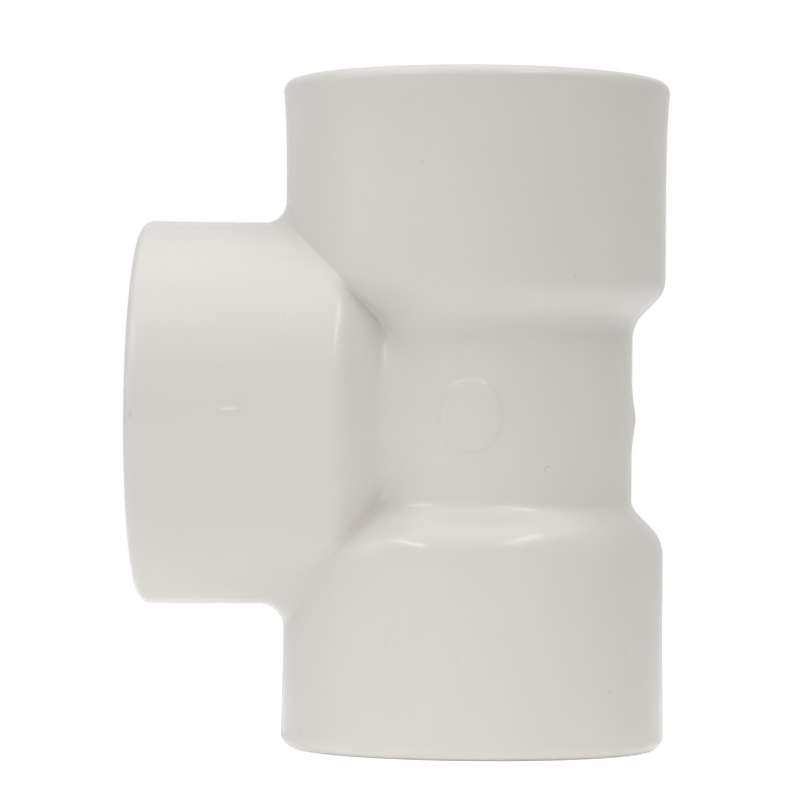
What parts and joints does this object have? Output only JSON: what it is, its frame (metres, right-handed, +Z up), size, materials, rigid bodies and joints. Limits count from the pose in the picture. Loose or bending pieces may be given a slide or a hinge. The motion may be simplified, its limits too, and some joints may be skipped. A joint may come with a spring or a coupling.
{
  "type": "equal pipe tee",
  "caption": "Moulded off-white plastic equal tee: a straight run with a side branch, and a plain socket on each arm that takes an overflow pipe up to its stop.",
  "frame": {"origin": "on the run's axis, in the plane of the lower rim that the tee stands on", "axes": "+Z up along the run, -X out of the branch, and -Y out of the barrel's front, where the raised disc is"},
  "size_m": [0.0358, 0.0264, 0.0453],
  "materials": {
    "moulded_pvc": "smooth off-white unplasticised PVC with a soft moulded sheen"
  },
  "bodies": {
    "root": {"tee_body": "moulded_pvc", "upper_run_socket": "moulded_pvc", "lower_run_socket": "moulded_pvc", "branch_socket": "moulded_pvc"}
  },
  "joints": []
}
